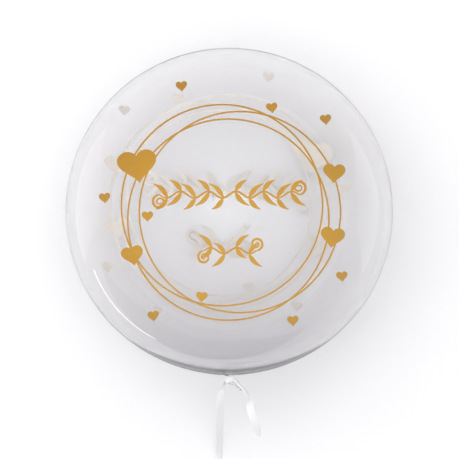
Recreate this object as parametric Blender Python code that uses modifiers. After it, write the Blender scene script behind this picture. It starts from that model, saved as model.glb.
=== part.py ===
"""A clear bubble balloon tied with a white ribbon, lying on its back.

Metres, +Z up. The balloon's printed front faces +Z and its neck points to -Y. It rests at z = 0 on
the small flat spot that the film takes under its own weight. The ribbon's long strand comes down to
the same surface and is wound into a loose coil past the neck.
"""

import math

import bpy
import numpy as np
from mathutils import Matrix, Vector

# Balloon
BALLOON_DIAMETER = 0.450
REST_SPOT_RADIUS = 0.030

# Neck: the film gathers from the sphere to the tie, and its loose end leans to +X past the tie
NECK_RADIUS = 0.0036
NECK_GATHER_RADIUS = 0.0125
NECK_GATHER_DROP = 0.0016
NECK_TIED_LENGTH = 0.0085
NECK_TAIL_LENGTH = 0.0180
NECK_TAIL_MOUTH_RADIUS = 0.0060
NECK_TAIL_LEAN = math.radians(42)

# Ribbon
RIBBON_WIDTH = 0.011
RIBBON_THICKNESS = 0.0008
RIBBON_GATHERED_SHARE = 0.32
RIBBON_GATHER_LENGTH = 0.024
KNOT_WRAP_THICKNESS = 0.0014
KNOT_WRAP_WIDTH = 0.0070
KNOT_LUMP_WIDTH = 0.0110
KNOT_LUMP_HEIGHT = 0.0074
KNOT_LUMP_DEPTH = 0.0066
KNOT_LUMP_OFFSET = 0.0027
KNOT_EXIT_RISE = 0.0050
COIL_MID_DIAMETER = 0.116
COIL_BUILD_UP = 0.0145
COIL_EDGE_ROUNDING = 0.0012

# Gap that pieces keep where the real ones touch, and how deep a joined shape reaches into the other
TOUCH_GAP = 0.0003
JOIN_DEPTH = 0.0020

# How finely round shapes are cut
BALLOON_STEPS = 72
BALLOON_RINGS = 36
NECK_STEPS = 24
COIL_STEPS = 48
SMALL_BEVEL_RESOLUTION = 2

# The ribbon's route, chosen by hand: distance along X, distance outwards from the sphere's point
# nearest the neck, and the share that is left of the height at which the ribbon leaves the knot
STRAND_ROUTE = (
    (-0.0046, 0.0085, 1.000),
    (-0.0073, 0.0143, 0.999),
    (-0.0097, 0.0225, 0.986),
    (-0.0110, 0.0312, 0.953),
    (-0.0114, 0.0400, 0.896),
    (-0.0118, 0.0485, 0.817),
    (-0.0122, 0.0570, 0.717),
    (-0.0125, 0.0655, 0.598),
    (-0.0128, 0.0742, 0.466),
    (-0.0131, 0.0830, 0.330),
    (-0.0134, 0.0925, 0.200),
    (-0.0138, 0.1035, 0.092),
    (-0.0142, 0.1155, 0.025),
    (-0.0146, 0.1290, 0.002),
    (-0.0149, 0.1450, 0.000),
    (-0.0151, 0.1610, 0.000),
    (-0.0152, 0.1770, 0.000),
    (-0.0152, 0.1930, 0.000),
    (-0.0152, 0.2050, 0.000),
)
TAIL_ROUTE = (
    (0.0098, 0.0084, 1.000),
    (0.0149, 0.0143, 1.003),
    (0.0222, 0.0212, 1.001),
    (0.0272, 0.0282, 0.992),
    (0.0291, 0.0345, 0.980),
    (0.0291, 0.0420, 0.960),
    (0.0300, 0.0490, 0.936),
    (0.0325, 0.0570, 0.902),
    (0.0355, 0.0650, 0.861),
    (0.0376, 0.0730, 0.814),
    (0.0390, 0.0810, 0.761),
    (0.0397, 0.0880, 0.710),
    (0.0398, 0.0905, 0.691),
)

# Where each strand turns between lying flat and standing on its edge, as distances outwards
STRAND_TURNS_FROM = 0.130
STRAND_TURNS_TO = 0.180
TAIL_TURNS_FROM = 0.026
TAIL_TURNS_TO = 0.042

# A POLY spline of the ribbon has a point every this many ribbon widths
STRIP_POINT_EVERY = 2

# Worked out from the sizes above
BALLOON_RADIUS = BALLOON_DIAMETER / 2
CENTRE_HEIGHT = math.sqrt(BALLOON_RADIUS**2 - REST_SPOT_RADIUS**2)
TIE_DISTANCE = BALLOON_RADIUS + NECK_GATHER_DROP + NECK_TIED_LENGTH / 2
EXIT_HEIGHT = CENTRE_HEIGHT + KNOT_EXIT_RISE
COIL_OUTER_RADIUS = COIL_MID_DIAMETER / 2 + COIL_BUILD_UP / 2
COIL_INNER_RADIUS = COIL_MID_DIAMETER / 2 - COIL_BUILD_UP / 2


def clear_scene():
    """Removes whatever the scene holds."""
    for obj in list(bpy.data.objects):
        bpy.data.objects.remove(obj, do_unlink=True)


def new_collection(name):
    """A collection of this name, linked to the scene."""
    made = bpy.data.collections.new(name)
    bpy.context.scene.collection.children.link(made)
    return made


def plain_material(name, color, roughness, transmission=0.0):
    """A Principled material in one colour."""
    made = bpy.data.materials.new(name)
    made.use_nodes = True
    shader = made.node_tree.nodes["Principled BSDF"]
    shader.inputs["Base Color"].default_value = (*color, 1.0)
    shader.inputs["Roughness"].default_value = roughness
    shader.inputs["Metallic"].default_value = 0.0
    shader.inputs["Transmission Weight"].default_value = transmission
    return made


def object_from(name, data, collection, material=None):
    """An object that shows this mesh or curve."""
    obj = bpy.data.objects.new(name, data)
    collection.objects.link(obj)
    if material:
        data.materials.append(material)
    return obj


def turned(name, profile, steps, collection, material=None, closed=False):
    """A profile of (radius, height) points turned about its local Z with a Screw modifier."""
    mesh = bpy.data.meshes.new(name)
    count = len(profile)
    edges = [(i, i + 1) for i in range(count - 1)]
    if closed:
        edges.append((count - 1, 0))
    mesh.from_pydata([(r, 0.0, z) for r, z in profile], edges, [])
    obj = object_from(name, mesh, collection, material)
    screw = obj.modifiers.new("turn", "SCREW")
    screw.axis = "Z"
    screw.steps = steps
    screw.render_steps = steps
    screw.use_merge_vertices = True
    screw.merge_threshold = 0.00001
    return obj


def smooth_route(points, spacing):
    """Points at even distances on the smooth curve through the given ones, and those distances."""
    points = np.asarray(points, float)
    chord = np.concatenate([[0.0], np.cumsum(np.linalg.norm(np.diff(points, axis=0), axis=1))])
    slopes = np.gradient(points, chord, axis=0)
    fine = np.linspace(0.0, chord[-1], 40 * len(points))
    span = np.clip(np.searchsorted(chord, fine, side="right") - 1, 0, len(points) - 2)
    step = (chord[span + 1] - chord[span])[:, None]
    t = (fine - chord[span])[:, None] / step
    curve = (
        (2 * t**3 - 3 * t**2 + 1) * points[span]
        + (t**3 - 2 * t**2 + t) * step * slopes[span]
        + (3 * t**2 - 2 * t**3) * points[span + 1]
        + (t**3 - t**2) * step * slopes[span + 1]
    )
    length = np.concatenate([[0.0], np.cumsum(np.linalg.norm(np.diff(curve, axis=0), axis=1))])
    count = max(2, round(length[-1] / spacing) + 1)
    at = np.linspace(0.0, length[-1], count)
    return np.stack([np.interp(at, length, curve[:, k]) for k in range(3)], axis=1), at


def ramp(value, start, end):
    """0 before start, 1 after end, and a smooth rise between them."""
    t = np.clip((np.asarray(value, float) - start) / (end - start), 0.0, 1.0)
    return t * t * (3 - 2 * t)


def outline_curve(name, points, tilts, radii):
    """A 3D POLY spline through the points, which the tilts turn about its own line."""
    curve = bpy.data.curves.new(name, "CURVE")
    curve.dimensions = "3D"
    curve.twist_mode = "MINIMUM"
    curve.use_fill_caps = True
    spline = curve.splines.new("POLY")
    spline.points.add(len(points) - 1)
    for point, place, tilt, radius in zip(spline.points, points, tilts, radii):
        point.co = (*place, 1.0)
        point.tilt = tilt
        point.radius = radius
    return curve


def balloon_profile():
    """The sphere from its top down to the gathered neck, as (radius, height) about its own centre."""
    lowest = math.pi - math.asin(NECK_GATHER_RADIUS / BALLOON_RADIUS)
    angles = np.linspace(0.0, lowest, BALLOON_RINGS)
    points = [(BALLOON_RADIUS * math.sin(a), BALLOON_RADIUS * math.cos(a)) for a in angles]
    gather_top = BALLOON_RADIUS * math.cos(lowest)
    gather_bottom = -(BALLOON_RADIUS + NECK_GATHER_DROP)
    for turn in np.linspace(0.0, math.pi / 2, 6)[1:]:
        radius = NECK_GATHER_RADIUS - (NECK_GATHER_RADIUS - NECK_RADIUS) * math.sin(turn)
        height = gather_top + (gather_bottom - gather_top) * (1 - math.cos(turn))
        points.append((radius, height))
    neck_end = gather_bottom - NECK_TIED_LENGTH
    points.append((NECK_RADIUS, neck_end))
    points.append((0.0, neck_end))
    points[0] = (0.0, BALLOON_RADIUS)
    return points


def neck_tail(helpers):
    """The neck's loose end past the tie, a tube that leans over and opens to its mouth."""
    start = np.array([0.0, JOIN_DEPTH - TIE_DISTANCE - NECK_TIED_LENGTH / 2, CENTRE_HEIGHT])
    places = [start]
    radii = [0.97]
    pieces = 7
    step = (NECK_TAIL_LENGTH + JOIN_DEPTH) / pieces
    for i in range(pieces):
        lean = NECK_TAIL_LEAN * float(ramp(i, 0, 3))
        places.append(places[-1] + step * np.array([math.sin(lean), -math.cos(lean), 0.0]))
        opening = float(ramp(i + 1, 1, pieces)) * (NECK_TAIL_MOUTH_RADIUS / NECK_RADIUS - 1)
        radii.append(0.97 + opening)
    curve = outline_curve("neck_tail_tube", places, [0.0] * len(places), radii)
    curve.bevel_depth = NECK_RADIUS
    curve.bevel_resolution = 4
    tube = object_from("neck_tail_tube", curve, helpers)
    bpy.context.view_layer.update()
    mesh = bpy.data.meshes.new_from_object(tube)
    bpy.data.objects.remove(tube, do_unlink=True)
    obj = object_from("neck_tail_cutter", mesh, helpers)
    weld = obj.modifiers.new("close_caps", "WELD")
    weld.merge_threshold = 0.00001
    return obj


def floor_block(helpers):
    """A block under z = 0, which leaves the balloon its flat rest spot."""
    bpy.ops.mesh.primitive_cube_add(size=1.0)
    block = bpy.context.object
    block.name = "floor_cutter"
    for owner in list(block.users_collection):
        owner.objects.unlink(block)
    helpers.objects.link(block)
    block.data.transform(Matrix.Diagonal((BALLOON_DIAMETER, BALLOON_DIAMETER, BALLOON_DIAMETER, 1)))
    block.location = (0.0, 0.0, -BALLOON_DIAMETER / 2)
    return block


def joined(obj, other, operation):
    """An exact Boolean of one mesh object with another."""
    boolean = obj.modifiers.new(operation.lower(), "BOOLEAN")
    boolean.operation = operation
    boolean.solver = "EXACT"
    boolean.object = other


def build_envelope(parts, helpers, material):
    """The sealed film bubble with its neck, one solid."""
    envelope = turned("balloon_envelope", balloon_profile(), BALLOON_STEPS, parts, material)
    envelope.location = (0.0, 0.0, CENTRE_HEIGHT)
    envelope.rotation_euler = (-math.pi / 2, 0.0, 0.0)
    joined(envelope, floor_block(helpers), "DIFFERENCE")
    joined(envelope, neck_tail(helpers), "UNION")
    return envelope


def build_knot(parts, helpers, material):
    """The ribbon's turns round the neck, with the knot's lump on the printed side."""
    inner = NECK_RADIUS + TOUCH_GAP
    outer = inner + KNOT_WRAP_THICKNESS
    half = KNOT_WRAP_WIDTH / 2
    profile = [(outer, half), (outer, -half), (inner, -half), (inner, half)]
    knot = turned("ribbon_knot", profile, NECK_STEPS, parts, material, closed=True)
    knot.location = (0.0, -TIE_DISTANCE, CENTRE_HEIGHT)
    knot.rotation_euler = (-math.pi / 2, 0.0, 0.0)
    bpy.ops.mesh.primitive_uv_sphere_add(segments=20, ring_count=12, radius=0.5)
    lump = bpy.context.object
    lump.name = "knot_lump_cutter"
    for owner in list(lump.users_collection):
        owner.objects.unlink(lump)
    helpers.objects.link(lump)
    depth_place = outer + KNOT_LUMP_DEPTH / 2 - JOIN_DEPTH / 2
    lump.data.transform(Matrix.Diagonal((KNOT_LUMP_WIDTH, KNOT_LUMP_HEIGHT, KNOT_LUMP_DEPTH, 1)))
    lump.location = (KNOT_LUMP_OFFSET, -TIE_DISTANCE, CENTRE_HEIGHT + depth_place)
    joined(knot, lump, "UNION")
    return knot


def ribbon_places(route, lift):
    """A route's points in metres, where lift is how high the ribbon's middle stands on the surface."""
    rows = np.asarray(route)
    height = lift + rows[:, 2] * (EXIT_HEIGHT - lift)
    return np.stack([rows[:, 0], -BALLOON_RADIUS - rows[:, 1], height], axis=1)


def strip_tilts(points, turns):
    """The curve's tilt at each point that stands the strip's width at this turn from level.

    Blender starts a minimum-twist curve with its extrusion upright and carries that direction along
    by the shortest turn from each direction of travel to the next.
    """
    steps = np.diff(points, axis=0)
    steps /= np.linalg.norm(steps, axis=1)[:, None]
    travel = np.concatenate([steps[:1], steps[:-1] + steps[1:], steps[-1:]])
    directions = [Vector(t).normalized() for t in travel]
    up = Vector((0.0, 0.0, 1.0))
    carried = up - up.dot(directions[0]) * directions[0]
    tilts = []
    for i, direction in enumerate(directions):
        if i:
            carried = directions[i - 1].rotation_difference(direction) @ carried
        level = direction.cross(up).normalized()
        wanted = math.cos(turns[i]) * level + math.sin(turns[i]) * level.cross(direction)
        across = direction.cross(carried)
        tilts.append(math.atan2(wanted.dot(across), wanted.dot(carried)))
    return np.unwrap(tilts, period=math.pi)


def build_strip(name, route, on_edge, parts, material):
    """A flat stretch of ribbon. on_edge gives 0 to 1, from flat to on its edge, for a distance out."""
    turn = on_edge(np.asarray(route)[:, 1]) * math.pi / 2
    half_width = RIBBON_WIDTH / 2
    half_thickness = RIBBON_THICKNESS / 2
    lift = TOUCH_GAP + half_width * np.sin(turn) + half_thickness * np.cos(turn)
    points, at = smooth_route(ribbon_places(route, lift), STRIP_POINT_EVERY * RIBBON_WIDTH)
    tilts = strip_tilts(points, on_edge(-points[:, 1] - BALLOON_RADIUS) * math.pi / 2)
    gathered = RIBBON_GATHERED_SHARE + (1 - RIBBON_GATHERED_SHARE) * ramp(at, 0, RIBBON_GATHER_LENGTH)
    curve = outline_curve(name, points, tilts, gathered)
    curve.extrude = half_width - half_thickness
    curve.bevel_depth = half_thickness
    curve.bevel_resolution = SMALL_BEVEL_RESOLUTION
    return object_from(name, curve, parts, material)


def strand_on_edge(out):
    """The long strand turns on its edge as it nears the coil."""
    return ramp(out, STRAND_TURNS_FROM, STRAND_TURNS_TO)


def tail_on_edge(out):
    """The short tail leaves the knot on its edge and turns flat at its fold."""
    return 1 - ramp(out, TAIL_TURNS_FROM, TAIL_TURNS_TO)


def build_coil(parts, material):
    """The outer shape of the coiled turns: a turned ring beside the end of the long strand."""
    low = TOUCH_GAP
    high = TOUCH_GAP + RIBBON_WIDTH
    profile = [
        (COIL_OUTER_RADIUS, high),
        (COIL_OUTER_RADIUS, low),
        (COIL_INNER_RADIUS, low),
        (COIL_INNER_RADIUS, high),
    ]
    coil = turned("ribbon_coil", profile, COIL_STEPS, parts, material, closed=True)
    beside = COIL_OUTER_RADIUS + TOUCH_GAP + RIBBON_THICKNESS / 2
    end_x, end_out, _ = STRAND_ROUTE[-1]
    coil.location = (end_x + beside, -BALLOON_RADIUS - end_out, 0.0)
    edge = coil.modifiers.new("edges", "BEVEL")
    edge.width = COIL_EDGE_ROUNDING
    edge.segments = 2
    edge.limit_method = "ANGLE"
    edge.angle_limit = math.radians(40)
    return coil


def main():
    clear_scene()
    parts = new_collection("bubble_balloon")
    helpers = new_collection("cutters")
    helpers.hide_render = True
    film = plain_material("clear_film", (0.93, 0.93, 0.95), 0.06, transmission=0.9)
    ribbon = plain_material("white_ribbon", (0.92, 0.92, 0.93), 0.45)
    build_envelope(parts, helpers, film)
    build_knot(parts, helpers, ribbon)
    build_strip("ribbon_long_strand", STRAND_ROUTE, strand_on_edge, parts, ribbon)
    build_strip("ribbon_short_tail", TAIL_ROUTE, tail_on_edge, parts, ribbon)
    build_coil(parts, ribbon)
    for helper in helpers.objects:
        helper.hide_render = True
        helper.display_type = "WIRE"


main()
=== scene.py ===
"""Looks for a clear bubble balloon with a gold print and a white ribbon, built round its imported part.

Metres, +Z up. The balloon lies on its back: the printed front faces +Z, where the camera looks down on
it, and the neck points to -Y. Every piece is a surface worked out on a grid of two parameters.
"""

import math

import bpy
import numpy as np
from bpy.props import FloatProperty, FloatVectorProperty, IntProperty, PointerProperty
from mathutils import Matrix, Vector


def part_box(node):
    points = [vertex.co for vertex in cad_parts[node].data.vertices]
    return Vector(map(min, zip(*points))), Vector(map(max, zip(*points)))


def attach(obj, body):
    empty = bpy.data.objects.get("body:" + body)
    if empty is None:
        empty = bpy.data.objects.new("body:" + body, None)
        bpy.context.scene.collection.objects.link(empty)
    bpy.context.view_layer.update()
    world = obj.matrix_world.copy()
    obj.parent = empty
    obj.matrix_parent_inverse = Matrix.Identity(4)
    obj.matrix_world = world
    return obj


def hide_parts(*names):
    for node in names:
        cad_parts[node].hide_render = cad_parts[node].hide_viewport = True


bl_info = {
    "name": "Clear bubble balloon",
    "version": (1, 0, 0),
    "blender": (4, 5, 0),
    "location": "View3D > Sidebar > Balloon",
    "description": "Makes the film, the print, the ribbon and the stage of a clear bubble balloon",
    "category": "Object",
}

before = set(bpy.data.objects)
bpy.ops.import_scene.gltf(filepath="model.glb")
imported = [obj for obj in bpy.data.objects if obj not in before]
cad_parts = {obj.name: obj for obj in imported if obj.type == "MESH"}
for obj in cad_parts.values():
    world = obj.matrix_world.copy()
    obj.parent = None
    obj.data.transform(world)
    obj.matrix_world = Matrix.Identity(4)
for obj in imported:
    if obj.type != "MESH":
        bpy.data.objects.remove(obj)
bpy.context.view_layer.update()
ENVELOPE_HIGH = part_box("balloon_envelope")[1]

MM = 0.001

# The print's places, in millimetres in the plane through the balloon's middle, as the camera sees
# them: X to the right and Y up from the middle
RINGS = ((-10.0, 8.5), (14.7, -1.0), (-1.2, -11.4))
# The larger hearts: middle, width, height, tilt in degrees anticlockwise
HEARTS = (
    (-126.0, 60.4, 54.3, 46.2, 8),
    (144.2, 51.3, 30.6, 27.9, -4),
    (141.8, -36.9, 33.4, 29.3, -8),
    (-132.6, -62.0, 30.6, 27.9, 12),
)
# The small hearts are all one size: middle and tilt
SMALL_HEART = (15.7, 14.9)
SMALL_HEARTS = (
    (-65.5, 171.5, 6),
    (58.8, 141.8, 8),
    (132.8, 125.7, 6),
    (-171.2, 17.8, 6),
    (-112.4, -7.5, 2),
    (155.2, -90.2, 5),
    (87.7, -151.2, 5),
    (-104.3, -144.6, 7),
    (-37.8, -118.4, -5),
)

# How far the back's print lies off the front's, turned round
BACK_SHIFT = (-11.6, 12.4)

# Rows of ornament: middle, half length, height of the stem's wave, length of a leaf, pairs of leaves,
# widest and thinnest stroke
ORNAMENT_ROWS = (
    (0.0, 23.0, 96.0, 4.5, 22.0, 10, 6.6, 2.0),
    (1.5, -54.0, 36.0, 4.0, 20.0, 4, 6.2, 2.0),
)
STEM_POINTS = 160

# A leaf's middle line from its foot, as shares of its length: out along the stem and away from it
LEAF_LINE = ((-0.10, 0.0), (0.12, 0.30), (0.50, 0.64), (1.10, 0.90))
LEAF_LEAN = 0.75
LEAF_FOOT = 0.3
SMALL_LEAF = 0.80

# A curl's last radius as a share of its first, and how far it turns, in degrees
CURL_END = 0.16
CURL_SWEEP = 600
CURL_POINTS = 80

# The ribbon's turns round the neck: shift along it, height of the slant, width, distance off the neck
KNOT_WRAPS = (
    (0.0016, 0.0004, 0.0036, 0.0010),
    (-0.0028, -0.0004, 0.0042, 0.0010),
    (0.0000, 0.00128, 0.0032, 0.0016),
)

# The crossing over the knot, and the folds that come out of it to the short end and the long strand:
# X, distance from the tie along Y and height above the neck
KNOT_OVER = (
    (-0.0050, -0.0014, -0.0012),
    (-0.0034, 0.0000, 0.0012),
    (-0.0006, 0.0014, 0.0030),
    (0.0030, 0.0014, 0.0038),
    (0.0060, 0.0004, 0.0026),
    (0.0080, -0.0012, 0.0004),
    (0.0076, -0.0020, -0.0014),
)
KNOT_TO_TAIL = (
    (-0.0050, 0.0016, -0.0008),
    (-0.0022, -0.0006, 0.0012),
    (0.0014, -0.0018, 0.0020),
    (0.0056, -0.0016, 0.0018),
    (0.0086, -0.0030, 0.0014),
    (0.0104, -0.0044, 0.0002),
)
KNOT_TO_STRAND = (
    (0.0020, 0.0006, 0.0010),
    (-0.0012, -0.0004, 0.0012),
    (-0.0034, -0.0022, 0.0010),
    (-0.0050, -0.0048, 0.0002),
)

# Low soft lights that lie on the floor and only show as gloss on the film: middle along X and Y,
# size, turn in degrees, and radiance
FLOOR_LIGHTS = (
    ("glow_right", (1.15, 0.06), (1.20, 0.66), 0.0, 0.52),
    ("glow_left", (-1.03, 0.09), (1.15, 0.50), 0.0, 0.42),
    ("line_left", (-0.427, -0.378), (0.38, 0.030), 131.5, 3.2),
)

# The ways from which the room is brightest, and where its soft light overhead lies
ROOM_BRIGHT = (-0.33, 0.33, 0.885)
ROOM_OVERHEAD = (-0.10, 0.09, 0.991)

UP = np.array([0.0, 0.0, 1.0])

# Edges that turn by more than this look sharp
SHARP_ANGLE = math.radians(40)

# How far a closing pole stands past its last ring
POLE_STEP = 0.0002

# Half the thickness of the solid strands, which the ribbon's route keeps above the floor
SOLID_HALF = 0.0004

# How many spacings inside the coil's first turn the middle of its turns lies
COIL_MIDDLE = 1.5

# The ribbon's routes: distance along X, distance outwards from the sphere's point nearest the neck,
# and the share that is left of the height at which the ribbon leaves the knot
STRAND_ROUTE = (
    (-0.0046, 0.0085, 1.000),
    (-0.0073, 0.0143, 0.999),
    (-0.0097, 0.0225, 0.986),
    (-0.0110, 0.0312, 0.953),
    (-0.0114, 0.0400, 0.896),
    (-0.0118, 0.0485, 0.817),
    (-0.0122, 0.0570, 0.717),
    (-0.0125, 0.0655, 0.598),
    (-0.0128, 0.0742, 0.466),
    (-0.0131, 0.0830, 0.330),
    (-0.0134, 0.0925, 0.200),
    (-0.0138, 0.1035, 0.092),
    (-0.0142, 0.1155, 0.025),
    (-0.0146, 0.1290, 0.002),
    (-0.0149, 0.1450, 0.000),
    (-0.0151, 0.1610, 0.000),
    (-0.0152, 0.1770, 0.000),
    (-0.0152, 0.1930, 0.000),
    (-0.0152, 0.2050, 0.000),
)
TAIL_ROUTE = (
    (0.0098, 0.0084, 1.000),
    (0.0149, 0.0143, 1.003),
    (0.0222, 0.0212, 1.001),
    (0.0272, 0.0282, 0.992),
    (0.0291, 0.0345, 0.980),
    (0.0291, 0.0420, 0.960),
    (0.0300, 0.0490, 0.936),
    (0.0325, 0.0570, 0.902),
    (0.0355, 0.0650, 0.861),
    (0.0376, 0.0730, 0.814),
    (0.0383, 0.0810, 0.761),
    (0.0381, 0.0880, 0.710),
    (0.0379, 0.0905, 0.691),
)

# How far each strand is turned from level, in degrees, at distances outwards
STRAND_TURN = ((0.040, 0), (0.058, 18), (0.075, 27), (0.092, 33), (0.110, 40), (0.130, 50), (0.180, 90))
TAIL_TURN = ((0.008, 62), (0.024, 64), (0.0315, 80), (0.036, 58), (0.042, 30), (0.050, 14), (0.090, 20))


def ramp(value, start, end):
    """0 before start, 1 after end, and between them t squared times (3 - 2t), t being the share done."""
    t = np.clip((np.asarray(value, float) - start) / (end - start), 0.0, 1.0)
    return t * t * (3 - 2 * t)


def unit(vectors):
    """Each vector over its own length."""
    return vectors / np.linalg.norm(vectors, axis=-1, keepdims=True)


def grid_faces(rows, columns, wrap_rows=False, wrap_columns=False):
    """The quads of a grid of points: point (i, j), (i, j+1), (i+1, j+1), (i+1, j) for every i and j."""
    i, j = np.meshgrid(
        np.arange(rows if wrap_rows else rows - 1),
        np.arange(columns if wrap_columns else columns - 1),
        indexing="ij",
    )
    below, beside = (i + 1) % rows, (j + 1) % columns
    quads = (i * columns + j, i * columns + beside, below * columns + beside, below * columns + j)
    return np.stack(quads, axis=-1).reshape(-1, 4)


class Shell:
    """Points, faces, material numbers and UVs that are gathered before they go into one mesh."""

    def __init__(self):
        self.points, self.faces, self.slots, self.uvs = [], [], [], []
        self.count = 0

    def add(self, points, faces, slot=0, flip=False, uv=None):
        """Adds points and the faces between them, and gives the first point's number."""
        points = np.asarray(points, float).reshape(-1, 3)
        first = self.count
        self.link(np.asarray(faces, int) + first, slot, flip)
        self.points.append(points)
        self.uvs.append(np.zeros((len(points), 2)) if uv is None else np.asarray(uv).reshape(-1, 2))
        self.count += len(points)
        return first

    def link(self, faces, slot=0, flip=False):
        """Adds faces between points that are there already; flip turns them over."""
        faces = np.asarray(faces, int)
        self.faces += (faces[:, ::-1] if flip else faces).tolist()
        self.slots += [slot] * len(faces)

    def piece(self, name, materials, sharp_angle=None):
        """The mesh object, with a UV for every point and smooth faces."""
        mesh = bpy.data.meshes.new(name)
        mesh.from_pydata(np.concatenate(self.points), [], self.faces)
        mesh.polygons.foreach_set("material_index", self.slots)
        mesh.polygons.foreach_set("use_smooth", [True] * len(self.faces))
        corners = np.empty(len(mesh.loops), np.int32)
        mesh.loops.foreach_get("vertex_index", corners)
        layer = mesh.uv_layers.new(name="surface")
        layer.data.foreach_set("uv", np.concatenate(self.uvs)[corners].astype(np.float32).ravel())
        for material in materials:
            mesh.materials.append(material)
        mesh.update()
        if sharp_angle is not None:
            mesh.set_sharp_from_angle(angle=sharp_angle)
        obj = bpy.data.objects.new(name, mesh)
        bpy.context.scene.collection.objects.link(obj)
        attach(obj, "root")
        return obj


def closed_tube(shell, rings, start, end, flip=False, uv=None):
    """Rings of points joined one to the next, each end closed by a fan to a pole.

    The faces look outwards where the rings turn from e1 to e2 and e1 cross e2 points back along them.
    """
    count, steps = rings.shape[:2]
    first = shell.add(rings, grid_faces(count, steps, wrap_columns=True), 0, flip, uv)
    j = np.arange(steps)
    beside = (j + 1) % steps
    for pole, ring, turned in ((start, 0, True), (end, count - 1, False)):
        at = shell.add([pole], np.zeros((0, 3), int))
        base = first + ring * steps
        shell.link(np.stack([base + j, base + beside, np.full(steps, at)], axis=1), 0, flip != turned)


# Lines

def along_line(line):
    """How far along a line each of its points lies: the running sum of its steps."""
    return np.concatenate([[0.0], np.cumsum(np.linalg.norm(np.diff(line, axis=0), axis=1))])


def even_steps(line, count):
    """A line's points moved to even steps along it."""
    length = along_line(line)
    at = np.linspace(0.0, length[-1], count)
    return np.stack([np.interp(at, length, line[:, k]) for k in range(line.shape[1])], axis=1)


def smooth_line(points, count):
    """The smooth curve through the points at even steps, by cubics that share their slopes."""
    points = np.asarray(points, float)
    chord = along_line(points)
    slopes = np.gradient(points, chord, axis=0)
    fine = np.linspace(0.0, chord[-1], 40 * len(points))
    span = np.clip(np.searchsorted(chord, fine, side="right") - 1, 0, len(points) - 2)
    step = (chord[span + 1] - chord[span])[:, None]
    t = (fine - chord[span])[:, None] / step
    curve = (
        (2 * t**3 - 3 * t**2 + 1) * points[span]
        + (t**3 - 2 * t**2 + t) * step * slopes[span]
        + (3 * t**2 - 2 * t**3) * points[span + 1]
        + (t**3 - t**2) * step * slopes[span + 1]
    )
    return even_steps(curve, count)


def full_turn(count):
    """Angles at even steps round one full turn, without its end."""
    return np.linspace(0, 2 * math.pi, count, endpoint=False)


# Film

def centre_height(film):
    """How high the balloon's middle is: the root of its radius squared less the rest spot's squared."""
    return math.sqrt(film.radius**2 - film.rest_spot_radius**2)


def rested(points, film, lift):
    """Points kept above the floor by lift, by a soft maximum.

    With d the height above lift, it is half of d plus the root of d squared and s squared.
    """
    depth = points[..., 2] - lift
    held = points.copy()
    held[..., 2] = lift + 0.5 * (depth + np.sqrt(depth**2 + film.rest_softness**2))
    return held


def pleats(turn):
    """The film's folds round the neck: a sum of four waves of the turn about the balloon's axis."""
    return (
        0.40 * np.cos(9 * turn + 0.4)
        + 0.34 * np.cos(14 * turn + 2.1)
        + 0.28 * np.cos(23 * turn + 4.0)
        + 0.16 * np.cos(37 * turn + 1.2)
    )


def outward(radii, along):
    """The profile's outward normal (radial, along) from its tangent turned a quarter."""
    tangent = unit(np.stack([np.gradient(radii), np.gradient(along)], axis=-1))
    return np.stack([tangent[:, 1], -tangent[:, 0]], axis=-1)


def wall_at(film, angle, turn):
    """The film's thickness at an angle from the neck and a turn about the axis.

    It is thin on the bubble and thicker towards the neck as a bell curve of the angle. Where the film
    gathers to the neck's two sides it is thicker still, as a bell curve of the height off the middle.
    """
    low = (film.side_wall - film.wall) * np.exp(-((angle / film.side_wall_reach) ** 2))
    near = film.neck_wall * np.exp(-((angle / film.neck_wall_reach) ** 4))
    level = np.exp(-((np.sin(angle) * np.sin(turn) / film.neck_wall_height) ** 2))
    return film.wall + low + near * level


def round_axis(radii, along, folds, film):
    """Rings about the balloon's axis, pushed along their outward normal by the folds' height."""
    turn = full_turn(film.steps)
    normal = outward(radii, along)
    push = folds[:, None] * pleats(turn)[None, :]
    radius = radii[:, None] + normal[:, :1] * push
    away = along[:, None] + normal[:, 1:] * push
    return np.stack([radius * np.cos(turn), -away, centre_height(film) + radius * np.sin(turn)], axis=-1)


def bubble_angles(film):
    """Angles from the far pole to the edge of the gathered neck, in even steps that are finer near it."""
    finer_from = math.radians(160)
    lowest = math.pi - math.asin(film.gather_radius / film.radius)
    return np.concatenate([np.linspace(0, finer_from, 112)[1:], np.linspace(finer_from, lowest, 44)[1:]])


def bubble_rings(film):
    """The skin from the far pole to the tie: a sphere, a quarter turn in to the neck and a tube."""
    skin = film.radius - film.inset
    angles = bubble_angles(film)
    edge = -skin * math.cos(angles[-1])
    neck_start = film.radius + film.gather_drop
    quarter = np.linspace(0, math.pi / 2, 12)[1:]
    tube = neck_start + np.linspace(0, film.tied_length, 8)[1:]
    radii = np.concatenate([
        skin * np.sin(angles),
        film.gather_radius - (film.gather_radius - film.neck_radius) * np.sin(quarter),
        np.full(len(tube), film.neck_radius),
    ])
    along = np.concatenate([
        -skin * np.cos(angles),
        edge + (neck_start - edge) * (1 - np.cos(quarter)),
        tube,
    ])
    folds = film.fold_height * ramp(along - film.radius, -film.fold_reach, 0.0)
    held = np.minimum(folds, film.fold_height * film.neck_fold)
    folds = np.where(radii < film.gather_radius, held, folds)
    return rested(round_axis(radii, along, folds, film), film, film.lift)


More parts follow.
